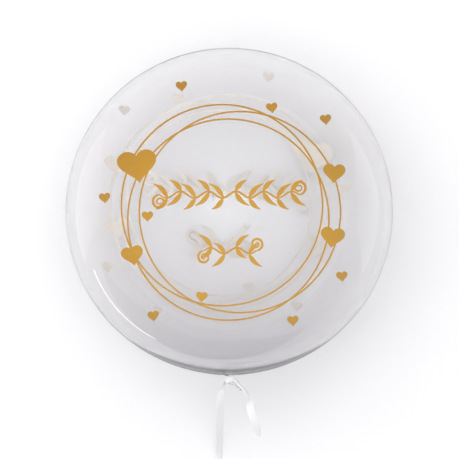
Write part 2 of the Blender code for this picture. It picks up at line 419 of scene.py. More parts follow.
def open_end_rings(film):
    """The neck's loose end: out along a line that leans over, round the mouth's edge and back inside.

    The rings are pressed flat towards the mouth. The middle of the last ring is given too.
    """
    count = 14
    share = np.linspace(0, 1, count + 1)[1:]
    lean = film.tail_lean * (1 + 0.3 * (1 - ramp(share, 0.1, 0.6)))
    walk = np.stack([np.sin(lean), -np.cos(lean), np.zeros(count)], axis=1) * (film.tail_length / count)
    tie_end = film.radius + film.gather_drop + film.tied_length
    middle = np.array([0.0, -tie_end, centre_height(film)]) + np.cumsum(walk, axis=0)
    wide = film.neck_radius + (film.mouth_radius - film.neck_radius) * ramp(share, 0.1, 1)
    flat = ramp(share, 0, 0.6)
    places = np.concatenate([middle, middle[-1:] + walk[-1] * 0.02, middle[::-1]])
    leans = np.concatenate([lean, lean[-1:], lean[::-1]])
    mouth = [film.mouth_radius - film.mouth_wall * 0.5]
    wides = np.concatenate([wide, mouth, (wide - film.mouth_wall)[::-1]])
    narrow = 1 - film.mouth_flat * np.concatenate([flat, [1.0], flat[::-1]])
    fold = film.fold_height * np.concatenate([
        film.neck_fold + (1 - film.neck_fold) * share,
        np.linspace(1.0, film.neck_fold, count + 1),
    ])
    turn = full_turn(film.steps)
    across = np.stack([np.cos(leans), np.sin(leans), np.zeros(len(leans))], axis=1)
    reach = wides[:, None] + fold[:, None] * pleats(turn)[None, :]
    rings = (
        places[:, None, :]
        + (reach * np.cos(turn) * narrow[:, None])[..., None] * across[:, None, :]
        + (reach * np.sin(turn))[..., None] * UP
    )
    return rings, places[-1]


def sealed_space(film):
    """The space inside: rings as far under the skin as the wall is thick there, and its two poles."""
    skin = film.radius - film.inset
    height = centre_height(film)
    from_neck = (math.pi - bubble_angles(film))[:, None]
    turn = full_turn(film.steps)[None, :]
    inner = skin - wall_at(film, from_neck, turn)
    rings = np.stack([
        inner * np.sin(from_neck) * np.cos(turn),
        -inner * np.cos(from_neck) * np.ones_like(turn),
        height + inner * np.sin(from_neck) * np.sin(turn),
    ], axis=-1)
    start = np.array([0.0, skin - film.wall, height])
    end = np.array([0.0, -(skin - film.side_wall - film.neck_wall), height])
    return rested(rings, film, film.lift + film.wall), start, end


def make_film(film):
    """The bubble with its gathered neck and the neck's open end, one closed wall round a sealed space."""
    shell = Shell()
    tail, tail_end = open_end_rings(film)
    far_pole = rested(np.array([0.0, film.radius - film.inset, centre_height(film)]), film, film.lift)
    rings = np.concatenate([bubble_rings(film), tail])
    closed_tube(shell, rings, far_pole, tail_end + np.array([0, POLE_STEP, 0]))
    space, start, end = sealed_space(film)
    closed_tube(shell, space, start, end, flip=True)
    balloon = shell.piece("balloon_film", [film_material(film)])
    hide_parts("balloon_envelope")


# Print

def on_film(flat, film, stage, side, lift):
    """Points of the film where the camera's rays through flat points of the middle plane meet it.

    The ray is the eye plus t times the way to the flat point. t solves a quadratic for the sphere: the
    smaller root is the front and the larger one the back. The point then goes outwards by lift.
    """
    height = centre_height(film)
    middle = np.array([0.0, 0.0, height])
    eye = np.array([stage.camera_x, stage.camera_y, height + stage.camera_distance])
    places = np.concatenate([flat * MM, np.full((*flat.shape[:-1], 1), height)], axis=-1)
    ray = places - eye
    skin = film.radius - film.inset
    a = (ray * ray).sum(-1)
    b = 2 * (ray * (eye - middle)).sum(-1)
    c = ((eye - middle) ** 2).sum() - skin**2
    root = np.sqrt(np.maximum(b * b - 4 * a * c, 0))
    t = (-b - side * root) / (2 * a)
    away = unit(eye + t[..., None] * ray - middle)
    return rested(middle + away * (skin + lift), film, film.lift - lift)


def add_ink(shell, flat, wrap, lift, side, film, ink_props, stage):
    """A printed patch from a grid of flat points: gold outside, pale underneath, closed round its edge.

    The back's print is turned round, so its flat points have X times -1, and shifted.
    """
    rows, columns = flat.shape[:2]
    if side < 0:
        flat = flat * np.array([-1.0, 1.0]) + np.array(BACK_SHIFT)
    faces = grid_faces(rows, columns, wrap_rows=wrap)
    first = shell.add(on_film(flat, film, stage, side, lift + ink_props.thickness), faces, 0, False)
    second = shell.add(on_film(flat, film, stage, side, lift), faces, 1, True)
    index = np.arange(rows * columns).reshape(rows, columns)
    if wrap:
        loops = [(index[:, 0], True), (index[:, -1], False)]
    else:
        rim = np.concatenate([index[0, :-1], index[:-1, -1], index[-1, :0:-1], index[:0:-1, 0]])
        loops = [(rim, True)]
    for loop, turned in loops:
        beside = np.roll(loop, -1)
        side_faces = np.stack([first + loop, first + beside, second + beside, second + loop], axis=1)
        shell.link(side_faces, 0, turned)


def ring_patch(x, y, radius, width):
    """A circle's band: the middle plus (radius + u) times (cos, sin), u across the line's width."""
    turn = full_turn(288)[:, None]
    reach = radius + np.linspace(-width / 2, width / 2, 3)[None, :]
    return np.stack([x + reach * np.cos(turn), y + reach * np.sin(turn)], axis=-1)


def heart_patch(x, y, width, height, tilt):
    """A heart between its upper and lower edge.

    Across is sin cubed of s. The edges are 13cos - 5cos2 - 2cos3 - cos4 of |s| and of pi less |s|, and
    powers of the cosine of s fill the notch a little and blunt the tip. That curve is 29 high, and its
    middle lies 2.5 below its origin.
    """
    s = np.linspace(-1, 1, 41)
    s = np.sign(s) * np.abs(s) ** 0.6 * math.pi / 2

    def edge(t):
        return 13 * np.cos(t) - 5 * np.cos(2 * t) - 2 * np.cos(3 * t) - np.cos(4 * t)

    upper = edge(np.abs(s)) + 0.05 + 2.2 * np.cos(s) ** 8
    lower = edge(math.pi - np.abs(s)) - 0.05 + 1.1 * np.cos(s) ** 24
    share = np.linspace(0, 1, max(5, round(height / 4)))
    rise = lower[:, None] + (upper - lower)[:, None] * share[None, :]
    across = np.repeat((np.sin(s) ** 3 * width / 2)[:, None], len(share), axis=1)
    up = (rise + 2.5) / 29.0 * height
    c, d = math.cos(math.radians(tilt)), math.sin(math.radians(tilt))
    return np.stack([x + c * across - d * up, y + d * across + c * up], axis=-1)[::-1]


def stroke_patch(line, width, thin, lean):
    """A pen stroke along a smooth line, whose width swells as sin of (pi t to the power lean)."""
    way = unit(np.gradient(line, axis=0))
    side = np.stack([-way[:, 1], way[:, 0]], axis=1)
    t = np.linspace(0, 1, len(line))
    half = (thin + (width - thin) * np.sin(math.pi * t**lean) ** 1.3) / 2
    across = np.array([1.0, 0.0, -1.0])
    return line[:, None, :] + side[:, None, :] * (half[:, None] * across[None, :])[..., None]


def curl(radius):
    """A curl that starts at the origin and turns left: its radius shrinks evenly as it goes on."""
    t = np.linspace(0, 1, CURL_POINTS)
    reach = radius * (1 + (CURL_END - 1) * t)
    turn = np.radians(-90 + CURL_SWEEP * t)
    return np.stack([reach * np.cos(turn), radius + reach * np.sin(turn)], axis=1)


def vine(x, y, half_length, wave, leaf, leaves, thick, thin):
    """A row of ornament: a waving stem with leaf strokes on both sides and a curl at each end.

    The stem is y plus wave times the sine of its place. Leaves lean outwards from the middle, and
    every other one is smaller.
    """
    pace = math.pi * leaves / (2 * half_length)

    def stem(place):
        return np.stack([x + place, y + wave * np.sin(pace * place)], axis=-1)

    line = stem(np.linspace(-half_length, half_length, STEM_POINTS))
    patches = [stroke_patch(even_steps(line, STEM_POINTS), thin * 1.5, thin, lean=1.0)]
    for k, place in enumerate((np.arange(leaves) + 0.5) / leaves * 2 - 1):
        lean = LEAF_LEAN * np.sign(place)
        for up in (1, -1):
            size = leaf * (1.0 if (k + (up < 0)) % 2 == 0 else SMALL_LEAF)
            steps = [(lean * size * out, up * max(LEAF_FOOT, size * rise)) for out, rise in LEAF_LINE]
            line = smooth_line(stem(place * half_length) + np.array(steps), 24)
            patches.append(stroke_patch(line, thick, thin * 0.6, lean=0.75))
    for end in (1, -1):
        line = curl(leaf * 0.46) * end + stem(end * half_length)
        patches.append(stroke_patch(even_steps(line, CURL_POINTS), thick * 0.55, thin * 0.8, lean=0.6))
    return patches


def print_patches(ink_props):
    """Every printed patch with its layer and whether it runs round: rings, hearts and ornament."""
    radius, line = ink_props.ring_radius / MM, ink_props.ring_line / MM
    found = [(0, ring_patch(x, y, radius, line), True) for x, y in RINGS]
    found += [(3, heart_patch(*heart), False) for heart in HEARTS]
    found += [(3, heart_patch(x, y, *SMALL_HEART, tilt), False) for x, y, tilt in SMALL_HEARTS]
    rows = [patch for row in ORNAMENT_ROWS for patch in vine(*row)]
    found += [(4 + k % 4, patch, False) for k, patch in enumerate(rows)]
    return found


def make_print(film, ink_props, stage, name, side):
    """One side's print, as thin closed patches of ink just outside the film."""
    shell = Shell()
    for layer, patch, wrap in print_patches(ink_props):
        lift = ink_props.gap + layer * ink_props.layer_step
        add_ink(shell, patch, wrap, lift, side, film, ink_props, stage)
    inks = [gold_material(ink_props), underbase_material(ink_props)]
    shell.piece(name, inks, SHARP_ANGLE)


# Ribbon

def ribbon_places(route, turn, film, ribbon):
    """A route's points in metres, with the ribbon's lower edge kept just above the surface."""
    rows = np.asarray(route)
    lift = ribbon.gap + ribbon.width / 2 * np.sin(turn) + SOLID_HALF * np.cos(turn)
    height = lift + rows[:, 2] * (centre_height(film) + ribbon.exit_rise - lift)
    return np.stack([rows[:, 0], -film.radius - rows[:, 1], height], axis=1)


def turn_at(table, distance):
    """The turn from level in radians at a distance outwards, eased between the table's rows."""
    rows = np.asarray(table, float)
    reach = np.clip(distance, rows[0, 0], rows[-1, 0])
    span = np.clip(np.searchsorted(rows[:, 0], reach, side="right") - 1, 0, len(rows) - 2)
    t = (reach - rows[span, 0]) / (rows[span + 1, 0] - rows[span, 0])
    return np.radians(rows[span, 1] + (rows[span + 1, 1] - rows[span, 1]) * t)


def strip(shell, line, turn, ribbon, cup, cut):
    """A ribbon along a line: each point is the line plus u across it plus a fold's height on its normal.

    It opens out from the knot over the gather's length. Across it the folds are a cosine wave, and both
    edges are thicker, as a woven edge is. Over the cut's length one edge comes evenly across to the
    other, the left one where the cut is below 0. The middles of its rings are given back.
    """
    way = unit(np.gradient(line, axis=0))
    level = unit(np.cross(way, UP))
    across = np.cos(turn)[:, None] * level + np.sin(turn)[:, None] * np.cross(level, way)
    normal = unit(np.cross(way, across))
    points_across, waves, wave_shift, cut_share = 25, 3.5, 0.4, 0.90
    edge_starts, edge_ends = (0.86, 0.95), (0.97, 1.03)
    u = np.linspace(-1, 1, points_across)
    along = along_line(line)
    share = ribbon.gathered_share + (1 - ribbon.gathered_share) * ramp(along, 0, ribbon.gather_length)
    folds = ribbon.fold_depth * (1 - share)[:, None] * np.cos(waves * math.pi * u + wave_shift)[None, :]
    middle = folds + cup * ribbon.width * (u**2)[None, :] * share[:, None]
    edge = ramp(np.abs(u), *edge_starts) * (1 - ramp(np.abs(u), *edge_ends))
    half = ribbon.thickness * (1 + ribbon.woven_edge * edge) / 2
    shorter = cut_share * np.clip((along - along[-1] + abs(cut)) / abs(cut), 0, 1)[:, None]
    half_width = ribbon.width / 2
    reach = half_width * share[:, None] * (u[None, :] * (1 - shorter) + math.copysign(1, cut) * shorter)
    centre = line[:, None, :] + reach[..., None] * across[:, None, :]
    top = centre + (middle + half)[..., None] * normal[:, None, :]
    under = centre + (middle - half)[..., None] * normal[:, None, :]
    uv = np.stack(np.broadcast_arrays(along[:, None], half_width * u[None, :]), axis=-1)
    rows, columns = reach.shape
    ring = np.concatenate([top, under[:, ::-1]], axis=1)
    ring_uv = np.concatenate([uv, uv[:, ::-1]], axis=1)
    first = shell.add(ring, grid_faces(rows, 2 * columns, wrap_columns=True), 0, False, ring_uv)
    j = np.arange(columns - 1)
    for row, turned in ((0, False), (rows - 1, True)):
        near = first + row * 2 * columns + j
        far = first + (row + 1) * 2 * columns - 1 - j
        shell.link(np.stack([near, far, far - 1, near + 1], axis=1), 0, turned)
    return ring.mean(axis=1)


def coil_line(start, ribbon):
    """The coil's turns on edge, with the coil's centre and the radius of the middle of its turns.

    The radius shrinks by the spacing each turn, and the turns draw together by a bell curve of the
    angle where the tie holds them.
    """
    centre = start[:2] + np.array([ribbon.coil_radius, 0.0])
    start_turn, step = 180.0, 6.0
    turn = np.radians(np.arange(start_turn, start_turn + 360.0 * ribbon.coil_turns, step))[1:]
    plain = ribbon.coil_radius - ribbon.coil_spacing * (turn - math.pi) / (2 * math.pi)
    middle = ribbon.coil_radius - ribbon.coil_spacing * COIL_MIDDLE
    off = (turn - ribbon.tie_turn + math.pi) % (2 * math.pi) - math.pi
    grip_reach = 0.42
    drawn = 1 - (1 - ribbon.tie_grip) * np.exp(-((off / grip_reach) ** 2))
    ease = ramp(turn, math.pi, math.pi * 1.5)
    radius = plain * (1 - ease) + (middle + (plain - middle) * drawn) * ease
    flat = centre + radius[:, None] * np.stack([np.cos(turn), np.sin(turn)], axis=1)
    return np.column_stack([flat, np.full(len(turn), start[2])]), centre, middle


def make_long_strand(film, ribbon):
    """The long strand and the coil it is wound into, one ribbon, with the tie that holds the coil."""
    route = np.asarray(STRAND_ROUTE)
    places = ribbon_places(route, turn_at(STRAND_TURN, route[:, 1]), film, ribbon)
    coil, centre, middle = coil_line(places[-1], ribbon)
    line = smooth_line(np.concatenate([smooth_line(places, 120), coil]), 900)
    turn = turn_at(STRAND_TURN, np.maximum.accumulate(-line[:, 1] - film.radius))
    shell = Shell()
    strip(shell, line, turn, ribbon, cup=0.03, cut=0.006)
    satin = ribbon_material("ribbon_satin", ribbon, knot_painted_shade=ribbon.knot_painted_shade)
    strand = shell.piece("ribbon_strand_and_coil", [satin])
    tie = make_tie(ribbon, centre, middle, places[-1][2])
    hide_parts("ribbon_long_strand", "ribbon_coil")


def make_tie(ribbon, centre, middle, height):
    """A paper band round the coil's turns: a rounded rectangle carried along the coil for its width."""
    steps, rows = 48, 5
    turn = full_turn(steps)
    power = 0.35
    slack_beside, slack_above, above_floor = 0.0011, 0.0004, 0.0001
    half_across = ribbon.coil_spacing * COIL_MIDDLE * ribbon.tie_grip + slack_beside
    half_up = ribbon.width / 2 + slack_above
    outline = np.stack([
        np.sign(np.cos(turn)) * np.abs(np.cos(turn)) ** power * half_across,
        np.sign(np.sin(turn)) * np.abs(np.sin(turn)) ** power * half_up,
    ], axis=1)
    spread = np.linspace(-ribbon.tie_width / 2, ribbon.tie_width / 2, rows)
    radial = np.array([math.cos(ribbon.tie_turn), math.sin(ribbon.tie_turn), 0.0])
    onward = np.array([-radial[1], radial[0], 0.0])
    base = np.array([centre[0], centre[1], height]) + radial * middle

    def place(ring):
        points = base + ring[:, :1] * radial + ring[:, 1:] * UP + spread[:, None, None] * onward
        points[..., 2] = np.maximum(points[..., 2], above_floor)
        return points

    shell = Shell()
    faces = grid_faces(rows, steps, wrap_columns=True)
    first = shell.add(place(outline + unit(outline) * ribbon.tie_paper), faces, 0, True)
    second = shell.add(place(outline), faces, 0, False)
    j = np.arange(steps)
    beside = (j + 1) % steps
    for row, turned in ((0, True), (rows - 1, False)):
        a, b = first + row * steps, second + row * steps
        shell.link(np.stack([a + j, a + beside, b + beside, b + j], axis=1), 0, turned)
    tie = shell.piece("coil_tie", [ribbon_material("tie_paper", ribbon, tone=0.92)], SHARP_ANGLE)
    return tie


def make_short_tail(film, ribbon):
    """The ribbon's short end: it leaves the knot nearly on edge, turns flat and is cut on a slant."""
    places = ribbon_places(TAIL_ROUTE, np.zeros(len(TAIL_ROUTE)), film, ribbon)
    line = smooth_line(places, 140)
    shell = Shell()
    turn = turn_at(TAIL_TURN, -line[:, 1] - film.radius)
    middles = strip(shell, line, turn, ribbon, cup=0.06, cut=-0.019)
    # Painted light: the short end's satin is a lighter copy of the strand's.
    satin = ribbon_material("ribbon_satin_short_painted_light", ribbon, tone=1.03, knot_painted_shade=ribbon.knot_painted_shade)
    tail = shell.piece("ribbon_short_end", [satin])
    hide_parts("ribbon_short_tail")


def gathered_band(shell, line, closed, wide, thick, outwards, twist, folds):
    """A gathered band of ribbon along a line: a flattened round section that ripples with its folds.

    The section is half the width times the cosine of the angle to a power and half the thickness times
    its sine to that power, times 1 plus the ripple: a cosine that twists along the line.
    """
    if closed:
        way = unit(np.roll(line, -1, axis=0) - np.roll(line, 1, axis=0))
    else:
        way = unit(np.gradient(line, axis=0))
    away = unit(outwards - (outwards * way).sum(-1, keepdims=True) * way)
    side = np.cross(way, away)
    steps, power, depth, ribbon_round = 40, 0.8, 0.13, 0.02
    angle = full_turn(steps)
    t = np.linspace(0, 1, len(line))[:, None]
    ripple = 1 + depth * np.cos(folds * 2 * angle[None, :] + twist * t) * (np.sin(angle) ** 2)[None, :]
    wide, thick = np.broadcast_to(wide, len(line))[:, None], np.broadcast_to(thick, len(line))[:, None]
    across = wide / 2 * np.sign(np.cos(angle)) * np.abs(np.cos(angle)) ** power
    out = thick / 2 * np.sign(np.sin(angle)) * np.abs(np.sin(angle)) ** power * ripple
    rings = line[:, None, :] + across[..., None] * side[:, None, :] + out[..., None] * away[:, None, :]
    round_it = angle / (2 * math.pi) * ribbon_round
    uv = np.stack(np.broadcast_arrays(along_line(line)[:, None], round_it[None, :]), axis=-1)
    if closed:
        shell.add(rings, grid_faces(len(line), steps, wrap_rows=True, wrap_columns=True), 0, True, uv)
    else:
        start, end = line[0] - way[0] * POLE_STEP, line[-1] + way[-1] * POLE_STEP
        closed_tube(shell, rings, start, end, True, uv)


def make_knot(film, ribbon):
    """The ribbon's turns round the neck, and the tied crossing with its two folds on the printed side."""
    height = centre_height(film)
    tie = np.array([0.0, -(film.radius + film.gather_drop + ribbon.knot_drop), height])
    wrap_thick, above_neck = 0.0015, 0.0012
    shell = Shell()
    turn = full_turn(72)
    radial = np.stack([np.cos(turn), np.zeros_like(turn), np.sin(turn)], axis=1)
    for shift, slant, wide, off in KNOT_WRAPS:
        line = tie + (film.neck_radius + off) * radial
        line[:, 1] += shift + slant * np.sin(turn + 0.6)
        gathered_band(shell, line, True, wide, wrap_thick, radial, twist=3.0, folds=5.0)
    top = tie + (film.neck_radius + above_neck) * UP
    outwards = np.array([0.0, 0.25, 1.0])
    swell = np.sin(np.linspace(0.25, math.pi - 0.25, 40)) ** 0.6
    for route, share, wide, thick, twist in (
        (KNOT_OVER, swell, 0.0078, 0.0034, 2.0),
        (KNOT_TO_TAIL, np.linspace(1.0, 0.86, 36), 0.0046, 0.0026, 2.5),
        (KNOT_TO_STRAND, np.ones(28), 0.0044, 0.0024, 1.5),
    ):
        points = top + np.array(route)
        if route is not KNOT_OVER:
            points[-1, 2] = height + ribbon.exit_rise
        line = smooth_line(points, len(share))
        gathered_band(shell, line, False, wide * share, thick * share, outwards, twist, folds=4.0)
    # Painted shade: the knot's satin is a darker copy of the strand's.
    knot = shell.piece("ribbon_tied_knot", [ribbon_material("ribbon_satin_knot_painted_shade", ribbon, tone=0.85)])
    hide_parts("ribbon_knot")


# Materials

def new_material(name):
    """An empty node material with its Principled shader."""
    material = bpy.data.materials.new(name)
    material.use_nodes = True
    tree = material.node_tree
    return material, tree, tree.nodes["Principled BSDF"]


def put(tree, socket, value):
    """Links another node's output to a socket, or sets the socket's own value."""
    if isinstance(value, bpy.types.NodeSocket):
        tree.links.new(value, socket)
    else:
        socket.default_value = value


def fill(tree, node, **inputs):
    """Values or links on a node's inputs, by their names."""
    for key, value in inputs.items():
        put(tree, node.inputs[key.replace("_", " ")], value)
    return node


def add_node(tree, kind, settings=None, **inputs):
    """A node with settings on itself and values or links on its inputs."""
    made = tree.nodes.new(kind)
    for key, value in (settings or {}).items():
        setattr(made, key, value)
    return fill(tree, made, **inputs)


def worked_out(tree, operation, *values, kind="ShaderNodeMath", **settings):
    """What a Math or Vector Math node makes of its inputs, given in their order."""
    made = add_node(tree, kind, {"operation": operation, **settings})
    for socket, value in zip(made.inputs, values):
        put(tree, socket, value)
    return made.outputs["Value"]


def slanting(tree, place, slope):
    """The dot product of a place or a way with a fixed slope."""
    return worked_out(tree, "DOT_PRODUCT", place, slope, kind="ShaderNodeVectorMath")


def two_tones(tree, factor, dark, light, low=0.3, high=0.7):
    """A colour that goes from dark to light as factor goes from low to high."""
    made = add_node(tree, "ShaderNodeValToRGB", Fac=factor)
    for element, position, colour in zip(made.color_ramp.elements, (low, high), (dark, light)):
        element.position = position
        element.color = (*colour, 1.0)
    return made.outputs["Color"]


def grey(tone):
    """A grey of that tone."""
    return (tone, tone, tone)


def times(tree, first, second):
    """Two linked colours multiplied."""
    mixed = add_node(tree, "ShaderNodeMixRGB", {"blend_type": "MULTIPLY"}, Fac=1.0)
    return fill(tree, mixed, Color1=first, Color2=second).outputs["Color"]


def bumped(tree, height, strength, distance):
    """A normal raised by a height at its real scale."""
    made = add_node(tree, "ShaderNodeBump", Height=height, Strength=strength, Distance=distance)
    return made.outputs["Normal"]


def noise(tree, place, scale, detail, roughness=0.5):
    """Noise on a place, with features of about one over scale metres."""
    made = add_node(tree, "ShaderNodeTexNoise", Vector=place, Scale=scale)
    return fill(tree, made, Detail=detail, Roughness=roughness).outputs["Fac"]


def object_place(tree):
    """The place on the object, in metres."""
    return add_node(tree, "ShaderNodeTexCoord").outputs["Object"]


def shade(colour, by):
    """The colour made darker or lighter by a share."""
    return tuple(min(1.0, max(0.0, c * by)) for c in colour)


def film_material(film):
    """Clear stretched film: see-through, faintly wavy, with a slight lavender-grey body colour."""
    material, tree, shader = new_material("clear_film")
    waves = noise(tree, object_place(tree), 9.0, 1.5, 0.4)
    fill(
        tree, shader, Base_Color=(*film.tint, 1.0), Roughness=film.roughness, IOR=film.refraction,
        Transmission_Weight=1.0, Normal=bumped(tree, waves, 0.25, 0.0006),
    )
    colour = (*film.body_colour, 1.0)
    body = add_node(tree, "ShaderNodeVolumeAbsorption", Color=colour, Density=film.body_density)
    fill(tree, tree.nodes["Material Output"], Volume=body.outputs["Volume"])
    return material


def gold_material(ink_props):
    """Opaque gold ink: a fine grain, small changes of tone and a soft gloss.

    Its colour goes from the upper left's to the lower right's by half plus 1.2 x less 3 y: the lower right
    is painted lighter, as painted light.
    """
    material, tree, shader = new_material("gold_ink")
    place = object_place(tree)
    share = worked_out(tree, "ADD", slanting(tree, place, (1.2, -3.0, 0.0)), 0.5)
    # Painted light: the gold goes lighter towards the lower right.
    ground = two_tones(tree, share, ink_props.gold, ink_props.gold_painted_lighter, 0.0, 1.0)
    tone = two_tones(tree, noise(tree, place, 60.0, 3.0, 0.6), grey(0.93), grey(1.0))
    grain = noise(tree, place, 2600.0, 2.0)
    fill(
        tree, shader, Base_Color=times(tree, ground, tone), Roughness=0.42, Specular_IOR_Level=0.28,
        Normal=bumped(tree, grain, 0.15, 0.00002),
    )
    return material


def underbase_material(ink_props):
    """The pale layer under the gold, which shows through the film from inside.

    Its tone goes by the distance from the axis and the place along one slanting line: painted light,
    lighter further out and to the upper left where shade falls.
    """
    material, tree, shader = new_material("gold_ink_underside")
    place = object_place(tree)
    flat = add_node(tree, "ShaderNodeMapping", Vector=place, Scale=(1.0, 1.0, 0.0)).outputs["Vector"]
    away = worked_out(tree, "LENGTH", flat, kind="ShaderNodeVectorMath")
    both = worked_out(tree, "ADD", away, slanting(tree, place, (-0.375, 0.33, 0.0)))
    # Painted light: the underside is made lighter further from the axis and towards the upper left, where
    # it lies in more shade.
    colour = two_tones(tree, both, ink_props.underbase, ink_props.underbase_painted_lighter, 0.05, 0.27)
    fill(tree, shader, Base_Color=colour, Roughness=0.6)
    return material


def threads(tree, uv, direction, scale):
    """Sine bands along one direction of the ribbon."""
    settings = {"bands_direction": direction, "wave_profile": "SIN"}
    made = add_node(tree, "ShaderNodeTexWave", settings, Vector=uv, Scale=scale)
    return fill(tree, made, Distortion=0.4, Detail=1.0).outputs["Fac"]


def ribbon_material(name, ribbon, tone=0.97, knot_painted_shade=1.0):
    """Satin ribbon: threads along and across by the piece's own UV, a soft sheen and a little grain.

    Where it comes out of the knot its colour is darkened by a share that goes over to 1 along its length:
    painted shade next to the knot.
    """
    material, tree, shader = new_material(name)
    uv = add_node(tree, "ShaderNodeUVMap", {"uv_map": "surface"}).outputs["UV"]
    weave = worked_out(tree, "MULTIPLY", threads(tree, uv, "Y", 1100.0), threads(tree, uv, "X", 800.0))
    stretch = add_node(tree, "ShaderNodeMapping", Vector=uv, Scale=(12.0, 900.0, 1.0)).outputs["Vector"]
    streak = noise(tree, stretch, 1.0, 2.0)
    colour = two_tones(tree, streak, shade(ribbon.colour, tone * 0.96), shade(ribbon.colour, tone * 1.02))
    length = add_node(tree, "ShaderNodeSeparateXYZ", Vector=uv).outputs["X"]
    # Painted shade: the ribbon is made darker where it leaves the knot.
    start = two_tones(tree, length, grey(knot_painted_shade), grey(1.0), 0.015, 0.034)
    fill(
        tree, shader, Base_Color=times(tree, colour, start), Roughness=0.38, Sheen_Weight=0.25,
        Sheen_Roughness=0.4, Normal=bumped(tree, weave, 0.25, 0.00003),
    )
    return material


def floor_material(stage):
    """The plain pale floor, with a barely seen unevenness."""
    material, tree, shader = new_material("pale_floor")
    cloud = noise(tree, object_place(tree), 3.0, 2.0)
    colour = two_tones(tree, cloud, shade(stage.floor_colour, 0.995), stage.floor_colour)
    fill(tree, shader, Base_Color=colour, Roughness=0.9, Specular_IOR_Level=0.1)
    return material


# Stage

def stage_piece(name, points, faces, material):
    """A flat piece of the stage from a grid of points."""
    mesh = bpy.data.meshes.new(name)
    mesh.from_pydata(points.reshape(-1, 3), [], faces.tolist())
    mesh.materials.append(material)
    piece = bpy.data.objects.new(name, mesh)
    bpy.context.scene.collection.objects.link(piece)
    return piece


def make_floor(stage):
    """A flat square just under the object, on a grid of two parameters."""
    side = np.linspace(-stage.floor_half, stage.floor_half, 5)
    x, y = np.meshgrid(side, side, indexing="ij")
    points = np.stack([x, y, np.full_like(x, -stage.floor_gap)], axis=-1)
    stage_piece("floor", points, grid_faces(5, 5)[:, ::-1], floor_material(stage))


def make_card(name, points, faces, colour):
    """A flat matt card close to the floor, which only the film's gloss shows, as a soft darker band."""
    material, tree, shader = new_material(name)
    fill(tree, shader, Base_Color=(*colour, 1.0), Roughness=0.9)
    card = stage_piece(name, points, faces, material)
    card.visible_camera = False
    card.visible_diffuse = False
    card.visible_transmission = False
    card.visible_shadow = False


def make_dark_card(stage):
    """A card beside the balloon: its corners are its middle plus and minus half of each side, turned."""
    c, d = math.cos(stage.card_turn), math.sin(stage.card_turn)
    half_long, half_wide = stage.card_length / 2, stage.card_width / 2
    u, v = np.meshgrid([-half_long, half_long], [-half_wide, half_wide], indexing="ij")
    x, y = stage.card_x + c * u - d * v, stage.card_y + d * u + c * v
    points = np.stack([x, y, np.full_like(u, stage.card_height)], axis=-1)
    make_card("dark_card", points, grid_faces(2, 2), stage.card_colour)


def make_rim_shadow_card(stage):
    """A dark ring round the balloon's foot, radius times (cos, sin): a painted shadow, which the outer
    film mirrors as a thin dark line.

    Its outer radius goes from the side radius to the outer one as the sine squared.
    """
    steps = 96
    turn = full_turn(steps)
    outer = stage.rim_side + (stage.rim_outer - stage.rim_side) * np.sin(turn) ** 2
    reach = np.stack([np.full(steps, stage.rim_inner), outer], axis=1)
    x, y = reach * np.cos(turn)[:, None], reach * np.sin(turn)[:, None]
    points = np.stack([x, y, np.full_like(x, stage.rim_height)], axis=-1)
    # Painted shadow: a dark ring where the balloon's shade lies, seen only in the film's reflection.
    make_card("rim_shadow_card", points, grid_faces(steps, 2, wrap_rows=True), stage.rim_shadow_colour)


def make_light(name, place, size, radiance, rotation, mirrored):
    """A soft rectangular light: its power is pi times its area times its radiance.

    The camera doesn't see it, also not through the film. A mirrored one shows only as gloss, and one
    that isn't mirrored only lights matt surfaces.
    """
    data = bpy.data.lights.new(name, "AREA")
    data.shape = "RECTANGLE"
    data.size, data.size_y = size
    data.energy = math.pi * size[0] * size[1] * radiance
    light = bpy.data.objects.new(name, data)
    bpy.context.scene.collection.objects.link(light)
    light.location = place
    light.rotation_euler = rotation
    light.visible_camera = False
    light.visible_diffuse = not mirrored
    light.visible_glossy = mirrored
    light.visible_transmission = False


def make_room(stage):
    """The pale surroundings, with a soft light overhead.

    What gloss shows of the room is a little brighter than what is seen through the film. The soft
    light falls on matt surfaces, and the film mirrors little of it.
    """
    world = bpy.data.worlds.new("pale_room")
    world.use_nodes = True
    tree = world.node_tree
    way = add_node(tree, "ShaderNodeTexCoord").outputs["Generated"]
    path = add_node(tree, "ShaderNodeLightPath").outputs
    glossy, crossing = path["Is Glossy Ray"], path["Is Transmission Ray"]
    gloss = worked_out(tree, "SUBTRACT", glossy, crossing, use_clamp=True)
    room = fill(
        tree, tree.nodes["Background"],
        Color=two_tones(tree, slanting(tree, way, ROOM_BRIGHT), stage.room_low, stage.room_high, 0.1, 1.0),
        Strength=worked_out(tree, "MULTIPLY_ADD", gloss, stage.room_gloss, stage.room_strength),
    )
    matt = path["Diffuse Depth"]
    soft = add_node(
        tree, "ShaderNodeBackground",
        Color=two_tones(tree, slanting(tree, way, ROOM_OVERHEAD), grey(0.0), grey(1.0), 0.88, 0.98),
        Strength=worked_out(tree, "MULTIPLY_ADD", matt, stage.soft_power, stage.soft_gloss),
    )
    both = add_node(tree, "ShaderNodeAddShader")
    put(tree, both.inputs[0], room.outputs[0])
    put(tree, both.inputs[1], soft.outputs[0])
    fill(tree, tree.nodes["World Output"], Surface=both.outputs[0])
    world.cycles.sampling_method = "NONE"
    bpy.context.scene.world = world


def make_camera(film, stage):
    """The camera over the balloon: its lens gives the frame's width at the height of the middle."""
    scene = bpy.context.scene
    data = bpy.data.cameras.new("camera")
    camera = bpy.data.objects.new("camera", data)
    scene.collection.objects.link(camera)
    data.sensor_width = 36.0
    data.lens = data.sensor_width * stage.camera_distance / stage.frame_width
    data.clip_end = 100.0
    camera.location = (stage.camera_x, stage.camera_y, centre_height(film) + stage.camera_distance)
    scene.camera = camera


